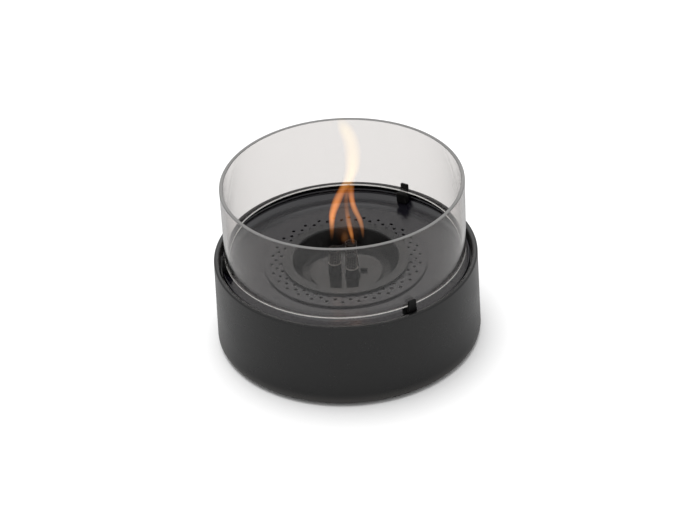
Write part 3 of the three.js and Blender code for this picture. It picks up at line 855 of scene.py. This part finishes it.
# %% [markdown]
# ## The flame
# The flame is light, not a part; it follows the wicks. Each tongue is a soft
# tube along a curve. Its shader adds warm light to what is behind it and lets
# it fade towards its outline.

# %% Light of the flame
FLAME_STOPS = [(75, "E8964F"), (90, "F0A05E"), (124, "EE8F45"), (131, "8C7640"), (190, "766530")]
EDGE = (2.2, 2.6, 3.4)  # how fast red, green and blue fade towards the outline


def flame_light(name):
    """Adds light to what is seen through it: the colour at this height, times
    the tongue's own light, times c^EDGE with c the cosine to the surface."""
    made = bpy.data.materials.new(name)
    made.use_nodes = True
    made.cycles.emission_sampling = "NONE"
    tree = made.node_tree
    tree.nodes.clear()
    place = add(tree, "ShaderNodeTexCoord").outputs["Object"]
    facing = add(tree, "ShaderNodeLayerWeight", {"Blend": 0.5}).outputs["Facing"]
    core = add(tree, "ShaderNodeMath", {0: 1.0, 1: facing}, operation="SUBTRACT").outputs[0]
    fade = [add(tree, "ShaderNodeMath", {0: core, 1: q}, operation="POWER").outputs[0] for q in EDGE]
    body = add(tree, "ShaderNodeCombineXYZ", {"X": fade[0], "Y": fade[1], "Z": fade[2]})
    colour = by_height(tree, place, FLAME_STOPS)
    tinted = add(
        tree, "ShaderNodeVectorMath", {0: colour, 1: body.outputs[0]}, operation="MULTIPLY"
    )
    light = add(tree, "ShaderNodeAttribute", attribute_name="light").outputs["Fac"]
    warm = add(tree, "ShaderNodeEmission", {"Color": tinted.outputs[0], "Strength": light})
    veil = add(tree, "ShaderNodeBsdfTransparent", {"Color": (1.0, 1.0, 1.0, 1.0)})
    both = add(tree, "ShaderNodeAddShader", {0: veil.outputs[0], 1: warm.outputs[0]})
    add(tree, "ShaderNodeOutputMaterial", {"Surface": both.outputs[0]})
    return made


# %% Tongues of the flame
SECTION = 32  # points round a tongue


def tongue(knots, steps=96):
    """A tube along a curve through knots (x, y, z, radius, light): between knots
    i and i + 1 each value is a cubic whose slopes are half the step between
    the neighbours, and the section is a level circle of that radius."""
    knots = np.array(knots, float)
    slope = np.gradient(knots, axis=0)
    t = np.linspace(0, len(knots) - 1, steps)
    i = np.minimum(t.astype(int), len(knots) - 2)
    f = (t - i)[:, None]
    rise = knots[i + 1] - knots[i]
    curve = (
        knots[i]
        + f * slope[i]
        + f**2 * (3 * rise - 2 * slope[i] - slope[i + 1])
        + f**3 * (slope[i] + slope[i + 1] - 2 * rise)
    )
    radius, light = np.maximum(curve[:, 3:4], 0.05), np.maximum(curve[:, 4], 0.0)
    v = 2 * np.pi * np.arange(SECTION) / SECTION
    x = curve[:, :1] + radius * np.cos(v)
    y = curve[:, 1:2] + radius * np.sin(v)
    points, quads = skin(np.stack([x, y, curve[:, 2:3] + 0 * v], axis=-1))
    return points, quads, np.repeat(light, SECTION)


# %% Knots of the flame
STRANDS = [
    [
        (-9.6, 0, 80, 1.0, 0.0),
        (-9.5, 0, 85, 1.6, 0.05),
        (-9.2, -1, 91, 2.0, 0.24),
        (-8.9, -2, 98, 2.3, 0.68),
        (-8.0, -2, 105, 3.0, 0.7),
        (-5.8, -2, 112, 3.6, 0.58),
        (-2.8, -1, 119, 3.8, 0.38),
        (1.0, 0, 126, 3.6, 0.42),
        (4.9, 1, 132, 4.4, 0.66),
        (8.0, 1, 141, 5.8, 0.74),
        (8.9, 1, 154, 6.4, 0.76),
        (7.9, 0, 166, 6.6, 0.7),
        (5.0, 0, 176, 6.2, 0.6),
        (2.8, 0, 182, 4.4, 0.36),
        (1.2, 0, 187, 2.0, 0.0),
    ],
    [
        (13.6, -5, 84, 0.8, 0.0),
        (13.4, -4, 89, 1.4, 0.08),
        (13.0, -4, 94, 1.8, 0.2),
        (11.6, -3, 100, 2.2, 0.27),
        (8.8, -2, 107, 2.5, 0.33),
        (7.0, -1, 114, 2.3, 0.44),
        (6.4, 0, 121, 2.6, 0.3),
        (6.6, 0, 128, 2.8, 0.3),
        (7.8, 0, 136, 2.6, 0.2),
        (9.2, 0, 146, 1.4, 0.0),
    ],
    [
        (6.2, 4, 74, 1.2, 0.12),
        (5.6, 3, 79, 1.4, 0.2),
        (4.9, 3, 84, 1.8, 0.44),
        (4.1, 2, 90, 2.1, 0.4),
        (3.2, 1, 98, 2.1, 0.24),
        (2.5, 1, 107, 1.8, 0.12),
        (2.6, 0, 116, 1.8, 0.12),
        (3.6, 0, 124, 1.6, 0.16),
        (5.4, 0, 132, 1.0, 0.0),
    ],
]
HAZE = [
    [
        (2.5, 0, 78, 8.0, 0.004),
        (2.0, 0, 90, 10.5, 0.02),
        (1.6, 0, 102, 9.5, 0.028),
        (2.4, 0, 114, 6.5, 0.03),
        (4.2, 0, 126, 3.4, 0.03),
        (6.0, 0, 136, 1.0, 0.0),
    ],
    [
        (-0.4, 0, 77, 1.0, 0.0),
        (-0.2, 0, 80.5, 3.0, 0.05),
        (0.0, 0, 84.5, 2.8, 0.045),
        (0.2, 0, 89, 1.0, 0.0),
    ],
]

# %% Flame
for name, lines in (("flame_strands", STRANDS), ("flame_haze", HAZE)):
    tongues = [tongue(line) for line in lines]
    starts = np.cumsum([0] + [len(points) for points, _, _ in tongues[:-1]])
    mesh = bpy.data.meshes.new(name)
    mesh.from_pydata(
        (np.concatenate([points for points, _, _ in tongues]) * MM).tolist(),
        [],
        np.concatenate([quads + start for (_, quads, _), start in zip(tongues, starts)]).tolist(),
    )
    mesh.shade_smooth()
    shine = mesh.attributes.new("light", "FLOAT", "POINT")
    shine.data.foreach_set("value", np.concatenate([light for _, _, light in tongues]))
    flame = bpy.data.objects.new(name, mesh)
    bpy.context.scene.collection.objects.link(flame)
    flame.data.materials.append(flame_light("ethanol_" + name))
    flame.visible_shadow = False
    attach(flame, "wicks")
    print(name, len(lines), "tongues")

# %% [markdown]
# ## The paper floor
# A product photograph on white. The paper is matt, and its tone depends on the
# ray: as bright as a print shows it where the camera sees it bare, a little
# darker where it is seen through the glass, and darker again as a thing that
# shines back in the object, because a real sheet of paper ends somewhere.

# %% Floor
FLOOR_RADIUS = 5000  # mm, past every edge of the picture


def looked_at(tree):
    """The kinds of ray, and 1 for a ray that has met no surface but clear
    glass so far, else 0: glossy and matt bounces together stay below 0.5."""
    rays = add(tree, "ShaderNodeLightPath").outputs
    bounces = add(tree, "ShaderNodeMath", {0: rays["Glossy Depth"], 1: rays["Diffuse Depth"]})
    seen = add(tree, "ShaderNodeMath", {0: bounces.outputs[0], 1: 0.5}, operation="LESS_THAN")
    return rays, seen.outputs[0]


sheet = turned(np.array([[FLOOR_RADIUS, 0.0], [0.0, 0.0]]), 96, closed=False)
floor = new_object("floor", [sheet])
paper, tree, shader, place = material("white_paper_floor")
shader.inputs["Roughness"].default_value = 0.9
shader.inputs["Specular IOR Level"].default_value = 0.1
rays, seen = looked_at(tree)
bare = add(tree, "ShaderNodeMath", {0: seen, 1: rays["Is Camera Ray"]})
look = add(tree, "ShaderNodeMath", {0: bare.outputs[0], 1: 0.5}, operation="MULTIPLY")
tone = add(tree, "ShaderNodeValToRGB", {"Fac": look.outputs[0]})
tone.color_ramp.elements[0].color = linear("ACACAC")
tone.color_ramp.elements[1].color = linear("F6F6F6")
tone.color_ramp.elements.new(0.5).color = linear("DEDEDE")
tree.links.new(tone.outputs["Color"], shader.inputs["Base Color"])
floor.data.materials.append(paper)
print("paper floor, radius", FLOOR_RADIUS, "mm")

# %% [markdown]
# ## The room
# What a glossy black thing shows is the room. Here it is a pale room, dimmer
# near the floor, with a wide bright panel high up behind the object: it makes
# the grey sheen on dish and rim. Where the camera looks past the object the
# room is plain white, as such pictures are printed.

# %% Room
PANEL = (0.0, 0.72, 0.69)  # towards the middle of the bright panel
PANEL_EDGE, PANEL_CORE = 0.86, 0.97  # as cosines of the angle to it
PANEL_LIGHT, WALL_LIGHT, LOW_LIGHT = 1.2, 0.62, 0.42
WALL_LOW, WALL_HIGH = 0.12, 0.42  # heights on a sphere of radius 1
PRINT_WHITE = 1.05

world = bpy.data.worlds.new("white_studio")
bpy.context.scene.world = world
world.use_nodes = True
world.cycles.sampling_method = "NONE"
tree = world.node_tree
around = add(tree, "ShaderNodeTexCoord").outputs["Generated"]
height = add(tree, "ShaderNodeSeparateXYZ", {"Vector": around}).outputs["Z"]
wall = add(
    tree,
    "ShaderNodeMapRange",
    {
        "Value": height,
        "From Min": WALL_LOW,
        "From Max": WALL_HIGH,
        "To Min": LOW_LIGHT,
        "To Max": WALL_LIGHT,
    },
    interpolation_type="SMOOTHSTEP",
)
facing = add(tree, "ShaderNodeVectorMath", {0: around, 1: PANEL}, operation="DOT_PRODUCT")
glow = add(
    tree,
    "ShaderNodeMapRange",
    {
        "Value": facing.outputs["Value"],
        "From Min": PANEL_EDGE,
        "From Max": PANEL_CORE,
        "To Min": wall.outputs[0],
        "To Max": PANEL_LIGHT,
    },
    interpolation_type="SMOOTHSTEP",
)
_, seen = looked_at(tree)
white = add(tree, "ShaderNodeMath", {0: seen, 1: PRINT_WHITE}, operation="MULTIPLY")
sky = add(tree, "ShaderNodeMath", {0: white.outputs[0], 1: glow.outputs[0]}, operation="MAXIMUM")
background = tree.nodes["Background"]
background.inputs["Color"].default_value = (1.0, 1.0, 1.0, 1.0)
tree.links.new(sky.outputs[0], background.inputs["Strength"])
print("room: walls", WALL_LIGHT, "panel", PANEL_LIGHT)

# %% [markdown]
# ## The light
# A very wide soft light from overhead, a little from the left and the back. It
# lies so far off that the whole floor gets the same light, and only the soft
# contact shadow round the pot is darker. It is kept out of reflections, which
# belong to the room.

# %% Light
OVERHEAD = np.array([-0.2, 0.2, 2.3])  # where the light comes from
LIGHT_STRENGTH, LIGHT_WIDTH = 2.3, np.radians(47.0)
lamp = bpy.data.lights.new("overhead", "SUN")
lamp.energy, lamp.angle = LIGHT_STRENGTH, LIGHT_WIDTH
overhead = bpy.data.objects.new("overhead", lamp)
bpy.context.scene.collection.objects.link(overhead)
overhead.visible_glossy = overhead.visible_transmission = False
towards = OVERHEAD / np.linalg.norm(OVERHEAD)
across = np.cross((0.0, 1.0, 0.0), towards)
across = across / np.linalg.norm(across)
axes = np.stack([across, np.cross(towards, across), towards], axis=1)
overhead.matrix_world = Matrix(axes.tolist()).to_4x4()
bpy.context.scene.view_settings.view_transform = "Standard"
print("light from", towards.round(3).tolist())

# %% [markdown]
# ## The camera
# A long lens looks down on the object from the front, turned a little about
# its own line of sight, so that the picture has the photograph's angle.

# %% Camera
RIM = 0.070  # the pot's rim, in metres
TILT, ROLL = np.radians(34.16), np.radians(-3.03)
DISTANCE, AIM_X, AIM_Z = 1.9185, 0.00289, RIM - 0.01048
FOCAL_LENGTH, SENSOR = 131.66, 36.0
back = np.array([0.0, -np.cos(TILT), np.sin(TILT)])
level, upright = np.array([1.0, 0.0, 0.0]), np.array([0.0, np.sin(TILT), np.cos(TILT)])
right = level * np.cos(ROLL) + upright * np.sin(ROLL)
up = upright * np.cos(ROLL) - level * np.sin(ROLL)
lens = bpy.data.cameras.new("camera")
lens.lens, lens.sensor_width = FOCAL_LENGTH, SENSOR
lens.clip_start, lens.clip_end = 0.05, 50.0
camera = bpy.data.objects.new("camera", lens)
bpy.context.scene.collection.objects.link(camera)
matrix = np.eye(4)
matrix[:3, :3] = np.stack([right, up, back], axis=1)
matrix[:3, 3] = np.array([AIM_X, 0.0, AIM_Z]) + back * DISTANCE
camera.matrix_world = Matrix(matrix.tolist())
bpy.context.scene.camera = camera
print("camera at", matrix[:3, 3].round(3).tolist())
